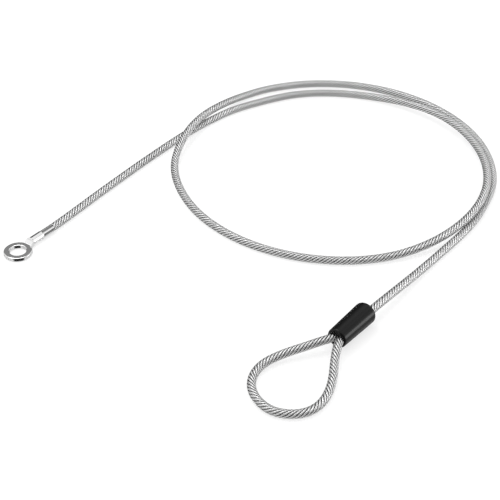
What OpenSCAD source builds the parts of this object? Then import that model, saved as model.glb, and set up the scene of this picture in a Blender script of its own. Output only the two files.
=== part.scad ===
// Security cable: a jacketed wire rope with a ring terminal at one end and a swaged eye at the other.
// It lies loose on a flat surface at z = 0, in 1.375 turns as set below. Millimetres, +Z up.
// The origin is the centre of the ring's bolt hole, on that surface, and the barrel points along +X.

/* [Cable] */
// Outer diameter of the clear jacket
jacket_d = 4; // [3:0.5:5]
// Diameter of the bare wire rope
rope_d = 3; // [2:0.5:3.5]
// Play between the rope and the jacket's bore
rope_play = 0.1; // [0.05:0.05:0.2]

/* [Ring terminal] */
// Outer diameter of the ring
ring_d = 14; // [13:0.5:18]
// Diameter of the bolt hole
bolt_hole_d = 8.4; // [6.4:0.1:8.4]
// Thickness of the ring
ring_t = 2; // [1.5:0.1:2.4]
// Height of the ring's underside above the surface
ring_lift = 0; // [0:0.1:1]
// Rounding of the ring's edges
ring_edge_r = 0.4; // [0.2:0.1:0.7]
// Diameter of the barrel that is crimped on the rope
barrel_d = 4.2; // [4.2:0.1:5]
// Where the barrel starts, from the hole's centre
barrel_start = 8.8; // [8.5:0.1:10]
// Length of the barrel
barrel_l = 15; // [12:0.1:16]
// Length of the crimped stretch at the barrel's mouth
crimp_l = 7.6; // [5:0.1:9]
// Distance across the crimp's six flats
crimp_flats = 3.9; // [3.85:0.05:4.1]
// Turn of the crimp's flats about the barrel
crimp_turn = 13; // [-30:1:30]

/* [Coil] */
// Radius of the outer turn
coil_r = 86.3; // [84:0.1:90]
// How many turns the cable makes
coil_turns = 1.375; // [1.3:0.005:1.4]
// Direction of the coil's start, seen from its centre
coil_start = 68; // [60:1:75]
// How much smaller the first turn starts
draw_in = 11.2; // [11:0.1:12.5]
// Half the difference between the coil's long and short radii
oval = 1.7; // [0.5:0.1:2.5]
// Direction of the coil's long axis
oval_dir = 54; // [30:1:80]

/* [Swaged eye] */
// Distance of the cover's mouth from the bolt hole, along the barrel's line
cover_x = 35.5; // [32:0.5:38]
// Distance of the cover's axis from the barrel's line
cover_y = -165; // [-168:0.5:-162]
// Length of the cover
cover_l = 25; // [24:0.5:28]
// Outer diameter of the cover at its mouth
cover_mouth_d = 9.8; // [9.6:0.1:11]
// Outer diameter of the cover at its closed end
cover_end_d = 11; // [10.8:0.1:12]
// Rounding of the cover's closed end
cover_end_r = 2; // [1:0.1:2.4]
// Rounding of the cover's mouth
cover_mouth_r = 1; // [0.3:0.1:1.4]
// Length of the ferrule
ferrule_l = 14; // [12:0.5:15]
// Wall of the ferrule
ferrule_wall = 0.8; // [0.6:0.05:0.85]

/* [Hidden] */
$fn = 64;
eps = 0.01;

// A cable that lies on the surface is cut flat below, a tenth of its diameter deep.
flat_cut = jacket_d / 10;
lie_z = jacket_d / 2 - flat_cut;
bore_d = rope_d + rope_play;
cord_sides = 8;
loop_sides = 6;

// Ring terminal
barrel_z = barrel_d / 2;
barrel_end = barrel_start + barrel_l;
rope_stop = 12;

// Coil
coil_centre = [159.3, -77.5];
loop_rings = 24;
grow_from = 0.06;
grow_to = 0.54;
stub = jacket_d;
strand_gap = 0.5;
turn_lift = 4.15;

// Cover, ferrule and the two legs inside them
cover_z = cover_end_d / 2;
leg_y = 2.05;
mouth_play = 0.4;
mouth_l = 5.5;
pocket_d = 9;
ferrule_x = cover_x + 6;
ferrule_end = ferrule_x + ferrule_l;
pocket_end = ferrule_end + 2.5;
exit_play = 0.5;
exit_y = 1.3;
exit_slant = 0.17;
dead_end = ferrule_end + 1.5;
rope_joint = ferrule_x + ferrule_l / 2;
standing_y = cover_y - leg_y;
returning_y = cover_y + leg_y;

// ---- Small helpers ----
function unit(v) = v / norm(v);
function smooth(x) = let (c = max(0, min(1, x))) c * c * (3 - 2 * c);
function hump(t, middle, flat, ramp) = smooth((flat + ramp - abs(t - middle)) / ramp);

// ---- The coil's centreline, t turns after its start ----
// The second turn passes over the tail and follows it down, so its corner there is cut.
// The first turn climbs on the second where they run together.
lift = jacket_d + strand_gap;
cut_corner = 3.2;
function over_tail(t) = hump(t, 0.905, 0.02, 0.077);
function over_turn(t) = hump(t, 0.342, 0.081, 0.146);
function follow_tail(t) = hump(t, 0.922, 0.022, 0.07);
function coil_radius(t, a) = coil_r + oval * cos(2 * (a - oval_dir)) - cut_corner * follow_tail(t)
    - draw_in * (1 - smooth((t - grow_from) / (grow_to - grow_from)));
function coil_point(t) = let (a = coil_start - 360 * t, r = coil_radius(t, a))
    [coil_centre.x + r * cos(a), coil_centre.y + r * sin(a),
        lie_z + lift * over_tail(t) + turn_lift * over_turn(t)];

coil_in = coil_point(0);
coil_out = coil_point(coil_turns);
coil_in_dir = unit(coil_point(0.001) - coil_in);
coil_out_dir = unit(coil_out - coil_point(coil_turns - 0.001));
coil_steps = round(coil_turns * loop_rings);
coil_route = concat(
    [coil_in - stub * coil_in_dir],
    [for (i = [0:coil_steps]) coil_point(i * coil_turns / coil_steps)],
    [coil_out + stub * coil_out_dir]);

// ---- The free stretches, as points chosen by hand ----
tail_points = [
    [barrel_end, 0, barrel_z], [31, 0.3, 2.1], [40, 0.9, 1.8], [50, 1.6, lie_z], [60, 2.3, lie_z],
    [70, 2.9, lie_z], [80, 3.4, lie_z], [90, 3.9, lie_z], [100, 4.3, lie_z], [110, 4.6, lie_z],
    [120, 4.8, lie_z], [130, 4.8, lie_z], [140, 4.5, lie_z], [150, 3.7, lie_z], [160, 2.4, lie_z],
    [170, 0.5, lie_z]];
lead_points = [
    [172, -162.5, lie_z], [161, -164.7, lie_z], [150, -165.8, lie_z], [138, -166.1, lie_z],
    [126, -166, 1.7], [115, -165.9, 1.9], [105, -165.9, 2.4], [95, -166, 3.2], [85, -166.2, 4.2],
    [76, -166.3, 5], [68, -166.3, 5.5], [cover_x + cover_l, cover_y - exit_y, cover_z]];
eye_points = [
    [cover_x, standing_y, cover_z], [31, -168.7, 5.3], [25, -171.7, 4.4], [18, -175.8, 3.3],
    [12, -178.9, 2.5], [5, -181.3, 2], [-2, -182, 1.7], [-8.2, -180.4, lie_z], [-13.3, -175.9, lie_z],
    [-16.2, -169.5, lie_z], [-16, -162.7, lie_z], [-13.5, -156.6, lie_z], [-9, -151.4, 1.7],
    [-3, -148.1, 1.9], [4, -147.2, 2.3], [11, -149, 2.9], [17, -152.1, 3.6], [24, -156.5, 4.5],
    [31, -160.8, 5.3], [cover_x, returning_y, cover_z]];

tail_route = concat(tail_points,
    [coil_in - 3 * stub * coil_in_dir, coil_in - stub * coil_in_dir]);
lead_route = concat(
    [coil_out + stub * coil_out_dir, coil_out + 3 * stub * coil_out_dir],
    lead_points, [[ferrule_end, standing_y, cover_z]]);
eye_route = concat(
    [[ferrule_x, standing_y, cover_z]], eye_points, [[ferrule_x, returning_y, cover_z]]);

// ---- Sweeping a tube along a route ----
function way(p, i) = let (n = len(p) - 1)
    i == 0 ? unit(p[1] - p[0])
    : i == n ? unit(p[n] - p[n - 1])
    : unit(unit(p[i] - p[i - 1]) + unit(p[i + 1] - p[i]));

// One ring of points round a route's point. Its lowest side lies flat, and nothing reaches below z = 0.
function ring(c, dir, r, sides) = let (
        side = unit(cross(dir, [0, 0, 1])),
        up = cross(side, dir))
    [for (k = [0:sides - 1]) let (
            a = -90 + (k + 0.5) * 360 / sides,
            q = c + r * (cos(a) * side + sin(a) * up))
        [q.x, q.y, max(q.z, 0)]];

function rings(p, r, sides) = [for (i = [0:len(p) - 1], q = ring(p[i], way(p, i), r, sides)) q];

// The triangles between ring after ring, starting at point number `first`; `out` is false for a bore.
function wall(count, sides, first, out) = [
    for (i = [0:count - 2], k = [0:sides - 1], half = [0, 1]) let (
            a = first + i * sides + k,
            b = first + i * sides + (k + 1) % sides,
            c = b + sides,
            d = a + sides)
        out ? (half == 0 ? [a, b, c] : [a, c, d]) : (half == 0 ? [a, c, b] : [a, d, c])];

function disc(first, sides, flip) = [for (k = [1:sides - 2])
    flip ? [first, first + k, first + k + 1] : [first, first + k + 1, first + k]];

function collar(outer, inner, sides, flip) = [for (k = [0:sides - 1], half = [0, 1]) let (
        n = (k + 1) % sides,
        t = half == 0 ? [outer + k, outer + n, inner + n] : [outer + k, inner + n, inner + k])
    flip ? [t[0], t[2], t[1]] : t];

module rod(p, d, sides) {
    last = (len(p) - 1) * sides;
    polyhedron(points = rings(p, d / 2, sides),
        faces = concat(wall(len(p), sides, 0, true), disc(0, sides, false), disc(last, sides, true)));
}

module tube(p, d, bore, sides) {
    count = len(p);
    inner = count * sides;
    last = (count - 1) * sides;
    polyhedron(points = concat(rings(p, d / 2, sides), rings(p, bore / 2, sides)),
        faces = concat(
            wall(count, sides, 0, true), wall(count, sides, inner, false),
            collar(0, inner, sides, true), collar(last, inner + last, sides, false)));
}

// ---- Ring terminal ----
module ring_blank() {
    inner = bolt_hole_d / 2;
    outer = ring_d / 2;
    e = ring_edge_r;
    translate([0, 0, ring_lift]) rotate_extrude() {
        translate([inner + e, 0]) square([outer - inner - 2 * e, ring_t]);
        translate([inner, e]) square([outer - inner, ring_t - 2 * e]);
        for (x = [inner + e, outer - e], y = [e, ring_t - e]) translate([x, y]) circle(r = e, $fn = 24);
    }
}

// The neck rises from the flat ring to the barrel in a smooth sweep.
module neck() {
    from = bolt_hole_d / 2 + 1;
    to = barrel_start + 0.6;
    steps = 8;
    width_ring = 5.4;
    width_barrel = 4;
    top_ring = ring_lift + ring_t - 0.1;
    top_barrel = barrel_d - 0.5;
    top = [for (i = [0:steps]) let (u = i / steps)
        [from + u * (to - from), top_ring + (top_barrel - top_ring) * smooth(u * 1.3 - 0.3)]];
    intersection() {
        rotate([90, 0, 0]) linear_extrude(width_ring, center = true)
            polygon(concat([[from, ring_lift + 0.1], [to, 0.5]], [for (i = [steps:-1:0]) top[i]]));
        linear_extrude(barrel_d)
            polygon([[from, -width_ring / 2], [ring_d / 2, -width_ring / 2 + 0.3],
                [to, -width_barrel / 2], [to, width_barrel / 2],
                [ring_d / 2, width_ring / 2 - 0.3], [from, width_ring / 2]]);
    }
}

module barrel() {
    chamfer = 0.5;
    plain_l = barrel_l - crimp_l;
    translate([barrel_start, 0, barrel_z]) rotate([0, 90, 0]) {
        cylinder(h = chamfer, d1 = barrel_d - 2 * chamfer, d2 = barrel_d);
        translate([0, 0, chamfer]) cylinder(h = plain_l - chamfer, d = barrel_d);
        translate([0, 0, plain_l - eps]) intersection() {
            cylinder(h = crimp_l + eps, d = barrel_d);
            rotate([0, 0, -crimp_turn]) cylinder(h = crimp_l + eps, d = crimp_flats / cos(30), $fn = 6);
        }
    }
}

module eye_terminal() {
    color("silver") difference() {
        union() {
            ring_blank();
            neck();
            barrel();
        }
        translate([0, 0, -1]) cylinder(h = ring_t + 4, d = bolt_hole_d);
        translate([rope_stop, 0, barrel_z]) rotate([0, 90, 0]) cylinder(h = barrel_l, d = bore_d);
    }
}

// ---- Wire rope and jacket, stretch by stretch ----
module rope_tail() {
    color("gainsboro") rod(concat([[rope_stop + 0.2, 0, barrel_z]], tail_route), rope_d, cord_sides);
}

module jacket_tail() {
    color("whitesmoke", 0.5) tube(tail_route, jacket_d, bore_d, cord_sides);
}

module rope_coil() {
    color("gainsboro") rod(coil_route, rope_d, loop_sides);
}

module jacket_coil() {
    color("whitesmoke", 0.5) tube(coil_route, jacket_d, bore_d, loop_sides);
}

module rope_lead() {
    color("gainsboro") rod(concat(lead_route, [[rope_joint, standing_y, cover_z]]), rope_d, cord_sides);
}

module jacket_lead() {
    color("whitesmoke", 0.5) tube(lead_route, jacket_d, bore_d, cord_sides);
}

module rope_eye() {
    color("gainsboro") rod(concat(
        [[rope_joint, standing_y, cover_z]], eye_route, [[dead_end, returning_y, cover_z]]),
        rope_d, cord_sides);
}

module jacket_eye() {
    color("whitesmoke", 0.5) tube(eye_route, jacket_d, bore_d, cord_sides);
}

// ---- Swaged ferrule and its cover ----
// An outline with two round ends, `w` wide and `h` high.
module slot_outline(w, h) {
    reach = (w - h) / 2;
    polygon([for (end = [1, -1], a = [-90:15:90])
        [end * (reach + h / 2 * cos(a)), end * h / 2 * sin(a)]]);
}

module ferrule() {
    h = bore_d + 2 * ferrule_wall;
    w = 2 * leg_y + h;
    press = 0.15;
    bands = 3;
    band_l = ferrule_l / (2 * bands + 1);
    color("lightgray") translate([ferrule_x, cover_y, cover_z]) rotate([90, 0, 90]) difference() {
        union() {
            linear_extrude(ferrule_l) slot_outline(w - 2 * press, h - 2 * press);
            for (i = [0:bands]) translate([0, 0, 2 * i * band_l]) linear_extrude(band_l) slot_outline(w, h);
        }
        for (y = [-leg_y, leg_y]) translate([y, 0, -1]) cylinder(h = ferrule_l + 2, d = bore_d);
    }
}

module cover_outline() {
    r0 = cover_mouth_d / 2;
    r1 = cover_end_d / 2;
    m = cover_mouth_r;
    e = cover_end_r;
    polygon(concat(
        [[0, 0]],
        [for (a = [-90:15:0]) [r0 - m + m * cos(a), m + m * sin(a)]],
        [for (a = [0:10:90]) [r1 - e + e * cos(a), cover_l - e + e * sin(a)]],
        [[0, cover_l]]));
}

// Both legs of the eye leave by one slot in the mouth, which fits them closely.
// The ferrule's pocket is behind it.
module sleeve_cover() {
    pocket_l = pocket_end - cover_x - mouth_l;
    leg_hole = jacket_d + mouth_play;
    exit_centre = exit_y + exit_slant;
    color([0.08, 0.08, 0.09]) translate([cover_x, cover_y, cover_z]) rotate([90, 0, 90]) difference() {
        rotate_extrude() cover_outline();
        translate([0, 0, -1]) linear_extrude(mouth_l + 2) slot_outline(2 * leg_y + leg_hole, leg_hole);
        translate([0, 0, mouth_l]) cylinder(h = pocket_l, d = pocket_d);
        translate([-exit_centre, 0, mouth_l]) cylinder(h = cover_l, d = jacket_d + exit_play);
    }
}

// ---- Least gaps, measured on points along the chords between the rings ----
fine = 10;
function along(p) = [for (i = [0:len(p) - 2], k = [0:fine - 1]) p[i] + (p[i + 1] - p[i]) * k / fine];
coil_fine = along(coil_route);
tail_fine = along(tail_route);
half_turn = round(loop_rings * fine / 2);
self_gap = min([for (i = [0:len(coil_fine) - 1], j = [i + half_turn:1:len(coil_fine) - 1])
    norm(coil_fine[i] - coil_fine[j])]) - jacket_d;
tail_gap = min([for (a = tail_fine, j = [half_turn:1:len(coil_fine) - 1])
    norm(a - coil_fine[j])]) - jacket_d;
lead_fine = along([for (i = [0:6]) lead_route[i]]);
lead_gap = min([for (a = lead_fine, j = [0:half_turn]) norm(a - coil_fine[j])]) - jacket_d;
echo(least_gap_of_the_coil_to_itself = self_gap, to_the_tail = tail_gap, to_the_lead = lead_gap);

function route_length(p) = len(p) < 2 ? 0 : norm(p[1] - p[0]) + route_length([for (i = [1:len(p) - 1]) p[i]]);
echo(tail = route_length(tail_route), coil = route_length(coil_route),
    lead = route_length(lead_route), eye = route_length(eye_route));

eye_terminal();
rope_tail();
jacket_tail();
rope_coil();
jacket_coil();
rope_lead();
jacket_lead();
rope_eye();
jacket_eye();
ferrule();
sleeve_cover();
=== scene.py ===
# %% [markdown]
# # A security cable with a ring terminal and a swaged eye
# The real thing is a steel wire rope in a clear jacket. One end is crimped into a bright ring terminal.
# The other is turned back into a small eye, and a pressed ferrule under a black cover holds it. The
# rigid model comes from CAD and is loaded first. Everything built here sits on it, in metres, in the
# same frame.

# %% Load the rigid model
import math

import bpy
import numpy as np
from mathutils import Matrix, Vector


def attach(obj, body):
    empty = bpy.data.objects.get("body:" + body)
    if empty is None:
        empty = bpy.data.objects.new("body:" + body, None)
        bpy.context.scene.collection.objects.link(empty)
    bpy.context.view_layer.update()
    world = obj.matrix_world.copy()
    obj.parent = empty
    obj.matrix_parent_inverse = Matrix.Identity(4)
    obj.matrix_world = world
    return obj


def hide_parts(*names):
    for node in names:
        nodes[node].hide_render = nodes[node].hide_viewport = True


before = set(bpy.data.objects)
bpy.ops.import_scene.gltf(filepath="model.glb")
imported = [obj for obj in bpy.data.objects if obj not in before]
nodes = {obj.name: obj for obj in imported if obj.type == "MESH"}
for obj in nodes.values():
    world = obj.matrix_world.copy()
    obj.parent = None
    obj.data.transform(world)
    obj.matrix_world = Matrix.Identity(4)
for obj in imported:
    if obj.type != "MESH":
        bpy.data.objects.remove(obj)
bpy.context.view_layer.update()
MM = 0.001
print("CAD nodes:", sorted(nodes))

# %% [markdown]
# ## Camera
# The camera looks down at the cable at 36 degrees, from a distance of 680 mm. A long lens keeps the far
# turns of the coil from shrinking much. A camera looks along its own -Z axis, so `to_track_quat` turns
# that axis to the target.

# %% Camera
CAMERA_AT = Vector((-364.66, -423.52, 399.69)) * MM
LOOKS_AT = Vector((71.79, -88.62, 0)) * MM
VIEW_ANGLE = math.radians(20.578)

camera = bpy.data.objects.new("camera", bpy.data.cameras.new("camera"))
bpy.context.scene.collection.objects.link(camera)
camera.data.angle = VIEW_ANGLE
camera.data.clip_start, camera.data.clip_end = 0.01, 20
camera.location = CAMERA_AT
camera.rotation_mode = "QUATERNION"
camera.rotation_quaternion = (LOOKS_AT - CAMERA_AT).to_track_quat("-Z", "Y")
bpy.context.scene.camera = camera
print("camera distance, mm:", round((LOOKS_AT - CAMERA_AT).length / MM))

# %% [markdown]
# ## Shader maths as Python
# A material is a graph of nodes. Writing it node by node hides the sum that it does. The small class
# below wraps one output socket, and its operators add the Math node for each sum.
# So `0.36 + patches * 0.14` reads as what it computes.

# %% A socket that can be calculated with
class Value:
    """One output socket of a shader graph, which sums can be written with."""

    def __init__(self, graph, socket):
        self.graph = graph
        self.socket = socket

    def maths(self, operation, *others):
        return self.graph.node("ShaderNodeMath", {"operation": operation}, *others)

    def __add__(self, other):
        return self.maths("ADD", self, other)

    __radd__ = __add__

    def __rsub__(self, other):
        return self.maths("SUBTRACT", other, self)

    def __mul__(self, other):
        return self.maths("MULTIPLY", self, other)


class Graph:
    """The nodes of one material or of the world."""

    def __init__(self, owner):
        owner.use_nodes = True
        self.tree = owner.node_tree
        self.tree.nodes.clear()

    def node(self, kind, settings=None, *values, out=0, **named):
        """Adds a node: first its settings, then what goes into its sockets, by order or by name."""
        made = self.tree.nodes.new(kind)
        for key, setting in (settings or {}).items():
            if key == "stops":
                self.set_stops(made.color_ramp, setting)
            else:
                setattr(made, key, setting)
        for place, value in list(enumerate(values)) + list(named.items()):
            socket = made.inputs[place.replace("_", " ") if isinstance(place, str) else place]
            if isinstance(value, Value):
                self.tree.links.new(value.socket, socket)
            else:
                socket.default_value = value
        return Value(self, made.outputs[out])

    def set_stops(self, ramp, stops):
        while len(ramp.elements) < len(stops):
            ramp.elements.new(0.5)
        for element, (place, colour) in zip(ramp.elements, stops):
            element.position = place
            element.color = colour

    def mix_colours(self, factor, first, second):
        """A Mix node for colours has its colour sockets at places 6 and 7, and its colour output at 2."""
        made = self.node("ShaderNodeMix", {"data_type": "RGBA"}, out=2)
        sockets = made.socket.node.inputs
        for place, value in ((0, factor), (6, first), (7, second)):
            if isinstance(value, Value):
                self.tree.links.new(value.socket, sockets[place])
            else:
                sockets[place].default_value = value
        return made

    def finish(self, surface, kind="ShaderNodeOutputMaterial"):
        output = self.tree.nodes.new(kind)
        self.tree.links.new(surface.socket, output.inputs["Surface"])


def grey(level):
    """A grey as red, green, blue and opacity."""
    return (level, level, level, 1.0)


def new_material(name):
    material = bpy.data.materials.new(name)
    return material, Graph(material)

# %% [markdown]
# ## Floor, backdrop and light
# The cable lies on a plain white sheet. For the camera, and seen through the clear jacket, part of the
# sheet glows, which keeps it white, and its diffuse part keeps the shadow under the cable. In polished
# metal the sheet is a gloss, so the ring mirrors the room in it too.

# %% Floor
FLOOR_SIZE = 6.0
FLOOR_MIDDLE = (0.1, -0.08, 0)
SHEET_LEVEL, SHEET_SHARE, GLOW_LEVEL = 0.9, 0.4, 1.15
MIRRORED_SHEET_LEVEL, MIRRORED_SHEET_ROUGHNESS = 0.75, 0.05
CAMERA_RAY, SHADOW_RAY, GLOSSY_RAY, THROUGH_RAY = 0, 1, 3, 6


def any_ray(graph, *places):
    """1 for a ray of any of these kinds, and 0 for others. They are places on the Light Path node."""
    rays = [graph.node("ShaderNodeLightPath", out=place) for place in places]
    found = rays[0]
    for ray in rays[1:]:
        found = found.maths("MAXIMUM", found, ray)
    return found


def make_floor():
    bpy.ops.mesh.primitive_plane_add(size=FLOOR_SIZE, location=FLOOR_MIDDLE)
    floor = bpy.context.object
    floor.name = "floor"
    material, graph = new_material("white_sheet")
    sheet = graph.node("ShaderNodeBsdfDiffuse", None, grey(SHEET_LEVEL))
    glow = graph.node("ShaderNodeEmission", None, grey(1.0), GLOW_LEVEL)
    gloss = graph.node("ShaderNodeBsdfGlossy", None, grey(MIRRORED_SHEET_LEVEL), MIRRORED_SHEET_ROUGHNESS)
    glow_share = any_ray(graph, CAMERA_RAY, THROUGH_RAY) * (1 - SHEET_SHARE)
    lit = graph.node("ShaderNodeMixShader", None, glow_share, sheet, glow)
    mirrored = any_ray(graph, GLOSSY_RAY) * (1 - any_ray(graph, THROUGH_RAY))
    graph.finish(graph.node("ShaderNodeMixShader", None, mirrored, lit, gloss))
    floor.data.materials.append(material)
    print("floor, m:", FLOOR_SIZE)


make_floor()

# %% [markdown]
# The room is a white tent with three seams, open at the front and at the back. Its brightness is given
# by how far a direction points to the back: 0 is the front, 0.5 is overhead or to a side, and 1 is the
# back. It shows only in mirrors and through the jacket. To every other surface the world is one even
# light. Two soft area lamps add the highlights along the jacket and the black cover.

# %% World and lamps
WORLD_LEVEL = 0.9
CENTRE = Vector((90, -80, 0)) * MM
AWAY_AZIMUTH = math.radians(49)
AWAY = (math.cos(AWAY_AZIMUTH), math.sin(AWAY_AZIMUTH), 0)
FRONT_OPENING = [(0.0, 0.03), (0.17, 0.03), (0.24, 1.0)]
FRONT_SEAM = [(0.335, 1.0), (0.35, 0.35), (0.365, 1.0)]
TOP_SEAM = [(0.47, 1.0), (0.49, 0.5), (0.51, 0.5), (0.53, 1.0)]
BACK_SEAM = [(0.64, 1.0), (0.665, 0.35), (0.69, 1.0)]
BACK_OPENING = [(0.8, 0.95), (0.86, 0.6), (0.905, 0.25), (0.96, 0.04)]
ROOM = FRONT_OPENING + FRONT_SEAM + TOP_SEAM + BACK_SEAM + BACK_OPENING


def room_in_mirrors(graph):
    """How bright the room is in the direction that a mirror shows."""
    direction = graph.node("ShaderNodeTexCoord", out=0)
    away = graph.node("ShaderNodeVectorMath", {"operation": "DOT_PRODUCT"}, direction, AWAY, out=1)
    stops = [(place, grey(level)) for place, level in ROOM]
    return graph.node("ShaderNodeValToRGB", {"stops": stops}, away * 0.5 + 0.5)


def make_world():
    world = bpy.data.worlds.new("studio")
    bpy.context.scene.world = world
    graph = Graph(world)
    plain = WORLD_LEVEL + any_ray(graph, CAMERA_RAY) * (1 - WORLD_LEVEL)
    colour = graph.mix_colours(any_ray(graph, GLOSSY_RAY, THROUGH_RAY), plain, room_in_mirrors(graph))
    graph.finish(graph.node("ShaderNodeBackground", None, colour, 1.0), "ShaderNodeOutputWorld")


def make_lamp(name, azimuth, elevation, distance, size, power):
    """An area lamp that looks at the cable's middle. Azimuth is its direction in plan, counted from +X."""
    a, e = math.radians(azimuth), math.radians(elevation)
    lamp = bpy.data.objects.new(name, bpy.data.lights.new(name, "AREA"))
    lamp.data.shape = "RECTANGLE"
    lamp.data.size, lamp.data.size_y = size
    lamp.data.energy = power
    direction = Vector((math.cos(a) * math.cos(e), math.sin(a) * math.cos(e), math.sin(e)))
    lamp.location = CENTRE + distance * direction
    lamp.rotation_mode = "QUATERNION"
    lamp.rotation_quaternion = (CENTRE - lamp.location).to_track_quat("-Z", "Y")
    bpy.context.scene.collection.objects.link(lamp)


make_world()
make_lamp("lamp_top", 72, 65, 1.2, (0.6, 0.6), 4.2)
make_lamp("lamp_right", -55, 5, 1.1, (0.6, 0.2), 1.7)
bpy.context.scene.view_settings.view_transform = "Standard"
print("lamps:", [light.name for light in bpy.data.lights])

# %% [markdown]
# ## The cable's route
# The cable is one curve, from the ring terminal's barrel, round the coil, through the cover, round the
# eye and back. Its loose stretches are points given in millimetres, and the coil is a formula. In plan
# both are the same as in the CAD source, where the cable is cut flat below and so lies a little lower.
# A cubic spline through all the points gives one smooth line, because a real cable has no corner. Where
# the spline dips into the sheet, it is lifted back onto it.

# %% Sizes and points of the route
JACKET_D = 4.0
ROPE_D = 3.0
BORE_D = ROPE_D + 0.1
LIE = JACKET_D / 2
BARREL_END, BARREL_Z = 23.8, 2.1
ROPE_STOP = 12.2
COIL_CENTRE = (159.3, -77.5)
COIL_R, COIL_TURNS, COIL_START = 86.3, 1.375, 68
OVAL, OVAL_DIR, DRAW_IN, CUT_CORNER = 1.7, 54, 11.2, 3.2
GROW_FROM, GROW_TO = 0.06, 0.54
COVER_X, COVER_Y, COVER_L, COVER_Z, LEG_Y, EXIT_Y = 35.5, -165, 25, 5.5, 2.05, 1.3
FERRULE_FROM, FERRULE_TO = COVER_X + 6, COVER_X + 20
STANDING_Y, RETURNING_Y = COVER_Y - LEG_Y, COVER_Y + LEG_Y

TAIL_POINTS = [
    (ROPE_STOP, 0, BARREL_Z), (BARREL_END, 0, BARREL_Z), (31, 0.3, 2.1), (40, 0.9, 2), (50, 1.6, 2),
    (60, 2.3, 2), (70, 2.9, 2), (80, 3.4, 2), (90, 3.9, 2), (100, 4.3, 2), (110, 4.6, 2), (120, 4.8, 2),
    (130, 4.8, 2), (140, 4.5, 2), (150, 3.7, 2), (160, 2.4, 2), (170, 0.5, 2)]
LEAD_POINTS = [
    (172, -162.5, 2), (161, -164.7, 2), (150, -165.8, 2), (138, -166.1, 2), (126, -166, 2),
    (115, -165.9, 2.1), (105, -165.9, 2.5), (95, -166, 3.2), (85, -166.2, 4.2), (76, -166.3, 5),
    (68, -166.3, 5.5), (COVER_X + COVER_L, COVER_Y - EXIT_Y, COVER_Z), (FERRULE_TO, STANDING_Y, COVER_Z)]
EYE_POINTS = [
    (FERRULE_FROM, STANDING_Y, COVER_Z), (COVER_X, STANDING_Y, COVER_Z),
    (31, -168.7, 5.3), (25, -171.7, 4.4),
    (18, -175.8, 3.4), (12, -178.9, 2.7), (5, -181.3, 2.2), (-2, -182, 2), (-8.2, -180.4, 2),
    (-13.3, -175.9, 2), (-16.2, -169.5, 2), (-16, -162.7, 2), (-13.5, -156.6, 2), (-9, -151.4, 2),
    (-3, -148.1, 2.1), (4, -147.2, 2.4), (11, -149, 2.9), (17, -152.1, 3.6), (24, -156.5, 4.5),
    (31, -160.8, 5.3), (COVER_X, RETURNING_Y, COVER_Z), (FERRULE_FROM, RETURNING_Y, COVER_Z),
    (FERRULE_TO, RETURNING_Y, COVER_Z)]

# %% The coil's formula
RINGS_A_TURN = 24
RIDE_UP = JACKET_D + 0.1
TURN_RIDE = 3.8
# Each is the middle of a hump, the half length of its flat top and its ramp, in turns.
OVER_TAIL = (0.905, 0.02, 0.077)
OVER_TURN = (0.342, 0.081, 0.146)
BESIDE_TAIL = (0.922, 0.022, 0.07)


def ease(x):
    x = np.clip(x, 0, 1)
    return x * x * (3 - 2 * x)


def hump(t, middle, flat, ramp):
    """1 within `flat` of the middle, and down to 0 over `ramp` on each side."""
    return ease((flat + ramp - abs(t - middle)) / ramp)


def coil_point(t):
    """The cable's centre t turns after the coil's start. It climbs where one turn lies on another."""
    over_tail, over_turn = hump(t, *OVER_TAIL), hump(t, *OVER_TURN)
    angle = math.radians(COIL_START - 360 * t)
    radius = COIL_R + OVAL * math.cos(2 * (angle - math.radians(OVAL_DIR)))
    radius -= CUT_CORNER * hump(t, *BESIDE_TAIL)
    radius -= DRAW_IN * (1 - ease((t - GROW_FROM) / (GROW_TO - GROW_FROM)))
    return (COIL_CENTRE[0] + radius * math.cos(angle), COIL_CENTRE[1] + radius * math.sin(angle),
            LIE + RIDE_UP * over_tail + TURN_RIDE * over_turn)


coil_steps = round(COIL_TURNS * RINGS_A_TURN)
COIL_POINTS = [coil_point(i * COIL_TURNS / coil_steps) for i in range(coil_steps + 1)]
print("points on the coil:", len(COIL_POINTS))

# %% One smooth line through all points
ROUTE_STEP = 0.75


def spline(points, step):
    """Points about `step` apart on the natural cubic spline through the given ones."""
    p = np.array(points, float)
    gaps = np.linalg.norm(np.diff(p, axis=0), axis=1)
    at = np.concatenate([[0], np.cumsum(gaps)])
    n = len(p)
    system, right = np.eye(n), np.zeros((n, 3))
    slopes = np.diff(p, axis=0) / gaps[:, None]
    for i in range(1, n - 1):
        system[i, i - 1], system[i, i], system[i, i + 1] = gaps[i - 1], 2 * (gaps[i - 1] + gaps[i]), gaps[i]
        right[i] = 6 * (slopes[i] - slopes[i - 1])
    bend = np.linalg.solve(system, right)
    s = np.linspace(0, at[-1], round(at[-1] / step) + 1)
    k = np.clip(np.searchsorted(at, s, "right") - 1, 0, n - 2)
    h, u, v = gaps[k][:, None], (s - at[k])[:, None], (at[k + 1] - s)[:, None]
    return ((bend[k] * v ** 3 + bend[k + 1] * u ** 3) / (6 * h)
            + (p[k] / h - bend[k] * h / 6) * v + (p[k + 1] / h - bend[k + 1] * h / 6) * u)


route = spline(TAIL_POINTS + COIL_POINTS + LEAD_POINTS + EYE_POINTS, ROUTE_STEP)
route[:, 2] = np.maximum(route[:, 2], LIE)
route_length = np.linalg.norm(np.diff(route, axis=0), axis=1).sum()
print("route, mm:", round(route_length, 1), "points:", len(route))
print("lowest centre, mm:", round(route[:, 2].min(), 2))

# %% [markdown]
# ## Sweeping along a line
# A sweep needs two directions square to the line at each point. Turning them as little as possible from
# one point to the next keeps the section from spinning, so that a helix laid on it has an even pitch.

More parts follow.
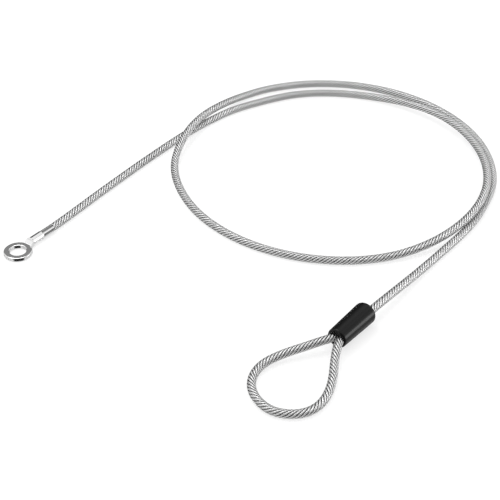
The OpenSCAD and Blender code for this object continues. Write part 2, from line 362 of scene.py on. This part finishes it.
# %% Directions along a line, and a tube round it
def directions(line):
    """The tangent and two cross directions at each point, carried along with no twist."""
    tangent = np.gradient(line, axis=0)
    tangent /= np.linalg.norm(tangent, axis=1)[:, None]
    side = np.zeros_like(line)
    side[0] = np.cross(tangent[0], (0, 0, 1))
    for i in range(1, len(line)):
        side[i] = side[i - 1] - tangent[i] * (side[i - 1] @ tangent[i])
        side[i] /= np.linalg.norm(side[i])
    return tangent, side, np.cross(side, tangent)


def ring_points(line, radius, sides):
    """All rings of a tube, as an array of rings by sides by 3."""
    _, side, up = directions(line)
    a = 2 * np.pi * np.arange(sides) / sides
    return line[:, None] + radius * (np.cos(a)[:, None] * side[:, None] + np.sin(a)[:, None] * up[:, None])


def skin(rings, sides, first, outward=True):
    """The quads between neighbouring rings of points."""
    i, k = np.meshgrid(np.arange(rings - 1), np.arange(sides), indexing="ij")
    a, b = first + i * sides + k, first + i * sides + (k + 1) % sides
    quads = np.stack([a, a + sides, b + sides, b], -1).reshape(-1, 4)
    return (quads if outward else quads[:, ::-1]).tolist()


def new_piece(name, points, faces, material):
    """A mesh object from points in millimetres. It rides on the only body, and its faces shade smoothly."""
    mesh = bpy.data.meshes.new(name)
    mesh.from_pydata((np.asarray(points).reshape(-1, 3) * MM).tolist(), [], faces)
    mesh.shade_smooth()
    mesh.materials.append(material)
    piece = bpy.data.objects.new(name, mesh)
    bpy.context.scene.collection.objects.link(piece)
    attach(piece, "root")
    return piece

# %% [markdown]
# ## Finishes of the cable
# The wires are galvanised steel: a light grey metal, with a soft reflection and small differences along
# each wire. Little light gets down between two strands, so shade is painted into the base colour there.
# Each strand point carries its height above the rope's middle as a mark, and the painted shade follows it.

# %% Wire and jacket
HEIGHT_MARK = "height_on_rope"
GROOVE_HEIGHT, RIDGE_HEIGHT = 0.8, 0.97
# The darkest level is painted shade between the strands; the other two are the wire's own tone.
PAINTED_GROOVE_SHADE, DULL_WIRE, BRIGHT_WIRE = 0.11, 0.68, 0.83


def wire_material():
    material, graph = new_material("galvanised_wire")
    place = graph.node("ShaderNodeTexCoord", out=3)
    patches = graph.node("ShaderNodeTexNoise", None, Vector=place, Scale=900.0, Detail=2.0)
    height = graph.node("ShaderNodeAttribute", {"attribute_name": HEIGHT_MARK}, out=2)
    ridge = graph.node("ShaderNodeMapRange", {"interpolation_type": "SMOOTHSTEP"}, height,
                       GROOVE_HEIGHT, RIDGE_HEIGHT, 0.0, 1.0)
    unshaded_wire = graph.mix_colours(patches, grey(DULL_WIRE), grey(BRIGHT_WIRE))
    # Painted shade: the base colour darkens towards the grooves between strands, where little light gets
    # in.
    graph.finish(graph.node(
        "ShaderNodeBsdfPrincipled", None, Base_Color=graph.mix_colours(ridge, grey(PAINTED_GROOVE_SHADE), unshaded_wire),
        Metallic=1.0, Roughness=0.36 + patches * 0.14))
    return material


def jacket_material():
    """Clear plastic. Lamps shine through it, because a lamp's light would otherwise stop at its surface."""
    material, graph = new_material("clear_jacket")
    shadow_ray = any_ray(graph, SHADOW_RAY)
    plastic = graph.node(
        "ShaderNodeBsdfPrincipled", None, Base_Color=grey(0.98), Roughness=0.04, IOR=1.47,
        Transmission_Weight=1.0)
    see_through = graph.node("ShaderNodeBsdfTransparent", None, grey(0.92))
    graph.finish(graph.node("ShaderNodeMixShader", None, shadow_ray, plastic, see_through))
    return material


def bore_material():
    """The jacket is moulded on the wires, so nothing bends or mirrors light at its bore."""
    material, graph = new_material("jacket_bore")
    graph.finish(graph.node("ShaderNodeBsdfTransparent", None, grey(1.0)))
    return material


wire = wire_material()
clear = jacket_material()
no_surface = bore_material()
print("finishes of the cable:", [m.name for m in (wire, clear, no_surface)])

# %% [markdown]
# ## Wire rope
# Six strands are laid round a core at one even pitch. Each strand is a helix round the cable's
# centreline, and is swept as a tube of its own.

# %% Strands and core
STRANDS = 6
LAY = 12.8
STRAND_D = 0.96
STRAND_SIDES, CORE_SIDES = 14, 10


def strand_line(number):
    _, side, up = directions(route)
    along = np.concatenate([[0], np.cumsum(np.linalg.norm(np.diff(route, axis=0), axis=1))])
    angle = 2 * np.pi * (number / STRANDS + along / LAY)
    middle = (ROPE_D - STRAND_D) / 2
    return route + middle * (np.cos(angle)[:, None] * side + np.sin(angle)[:, None] * up)


def closed_tube(name, line, diameter, sides, material):
    points = ring_points(line, diameter / 2, sides)
    last = (len(line) - 1) * sides
    caps = [list(range(sides)), [last + k for k in range(sides - 1, -1, -1)]]
    return new_piece(name, points, skin(len(line), sides, 0) + caps, material)


def make_strand(number):
    """One strand. Each of its points is marked with its height above the rope's middle, from 0 to 1."""
    line = strand_line(number)
    piece = closed_tube(f"rope_strand_{number + 1:02d}", line, STRAND_D, STRAND_SIDES, wire)
    rings = ring_points(line, STRAND_D / 2, STRAND_SIDES)
    height = np.linalg.norm(rings - route[:, None], axis=2) / (ROPE_D / 2)
    piece.data.attributes.new(HEIGHT_MARK, "FLOAT", "POINT").data.foreach_set("value", height.ravel())
    return piece


strands = [make_strand(i) for i in range(STRANDS)]
core = closed_tube("rope_core", route[::3], ROPE_D - 2 * STRAND_D, CORE_SIDES, wire)
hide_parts("rope_tail", "rope_coil", "rope_lead", "rope_eye")

# %% [markdown]
# ## Jacket
# The jacket is a tube with a wall, open at both ends. Its outer and inner skins are joined by a ring of
# faces at each end, so that it is one closed solid.

# %% Jacket
JACKET_SIDES = 32


def make_jacket():
    start = int(np.argmin(np.linalg.norm(route - (BARREL_END, 0, BARREL_Z), axis=1)))
    line = route[start::2]
    sides = JACKET_SIDES
    outer, inner = ring_points(line, JACKET_D / 2, sides), ring_points(line, BORE_D / 2, sides)
    count = len(line)
    offset = count * sides
    faces = skin(count, sides, 0) + skin(count, sides, offset, outward=False)
    for base, flip in ((0, False), ((count - 1) * sides, True)):
        for k in range(sides):
            a, b = base + k, base + (k + 1) % sides
            quad = [a, b, b + offset, a + offset]
            faces.append(quad[::-1] if flip else quad)
    piece = new_piece("cable_jacket", np.concatenate([outer, inner]), faces, clear)
    piece.data.materials.append(no_surface)
    bore_faces = (count - 1) * sides
    slots = [0] * bore_faces + [1] * bore_faces + [0] * 2 * sides
    piece.data.polygons.foreach_set("material_index", slots)
    return piece, line


jacket, jacket_line = make_jacket()
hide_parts("jacket_tail", "jacket_coil", "jacket_lead", "jacket_eye")
[x * MM for x in jacket_line[0]]
(jacket_line * MM).tolist()

# %% [markdown]
# ## Ring terminal, ferrule and cover
# These three are CAD shapes and stay as they are. Each gets a finish. The crimping dies leave six rough
# flats on the barrel, with fine marks across them, and their base colour is darkened as painted shade.
# The ridges between the flats keep the bright plating, because no die touched them.

# %% Terminal, ferrule and cover
CRIMP_FROM, CRIMP_TO = 15.9, 16.3
FLAT_RADIUS, RIDGE_RADIUS = 2.03, 2.09
HAZY_PLATING, CLEAR_PLATING = 0.86, 0.95
# The pressed flats' base colour lies between these two: painted shade, with fine marks in it.
SHADE_AND_MARKS_DARK, SHADE_AND_MARKS_LIGHT = 0.05, 0.27


def plated_material():
    """Bright plating, with a faint haze. The pressed flats are rougher, with fine marks and painted shade.
    """
    material, graph = new_material("bright_plating")
    place = graph.node("ShaderNodeTexCoord", out=3)
    haze = graph.node("ShaderNodeTexNoise", None, Vector=place, Scale=500.0, Detail=3.0)
    along = graph.node("ShaderNodeSeparateXYZ", None, place, out=0)
    pressed = graph.node("ShaderNodeMapRange", None, along, CRIMP_FROM * MM, CRIMP_TO * MM, 0.0, 1.0)
    across = graph.node("ShaderNodeVectorMath", {"operation": "MULTIPLY_ADD"}, place, (0, 1, 1),
                        (0, 0, -BARREL_Z * MM))
    radius = graph.node("ShaderNodeVectorMath", {"operation": "LENGTH"}, across, out=1)
    flat = graph.node("ShaderNodeMapRange", None, radius, FLAT_RADIUS * MM, RIDGE_RADIUS * MM, 1.0, 0.0)
    crimp = pressed * flat
    stretched = graph.node("ShaderNodeMapping", None, place, Scale=(4.0, 1.0, 1.0))
    marks = graph.node("ShaderNodeTexNoise", None, Vector=stretched, Scale=700.0, Detail=2.0)
    bright = graph.mix_colours(haze, grey(HAZY_PLATING), grey(CLEAR_PLATING))
    # Painted shade: the pressed flats get a dark base colour, with fine marks across it.
    shaded_marked_flats = graph.mix_colours(marks, grey(SHADE_AND_MARKS_DARK), grey(SHADE_AND_MARKS_LIGHT))
    graph.finish(graph.node(
        "ShaderNodeBsdfPrincipled", None, Base_Color=graph.mix_colours(crimp, bright, shaded_marked_flats),
        Metallic=1.0, Roughness=0.05 + haze * 0.08 + crimp * 0.3))
    return material


def black_material():
    material, graph = new_material("black_moulding")
    place = graph.node("ShaderNodeTexCoord", out=3)
    grain = graph.node("ShaderNodeTexNoise", None, Vector=place, Scale=1500.0, Detail=2.0)
    bump = graph.node("ShaderNodeBump", None, Strength=0.15, Distance=0.0001, Height=grain)
    graph.finish(graph.node(
        "ShaderNodeBsdfPrincipled", None, Base_Color=grey(0.006), Roughness=0.19 + grain * 0.08,
        Specular_IOR_Level=0.2, Normal=bump))
    return material


plated = plated_material()
finishes = {"eye_terminal": plated, "ferrule": plated, "sleeve_cover": black_material()}
for name, material in finishes.items():
    nodes[name].data.materials.clear()
    nodes[name].data.materials.append(material)
print("finishes of the rigid pieces:", {name: material.name for name, material in finishes.items()})
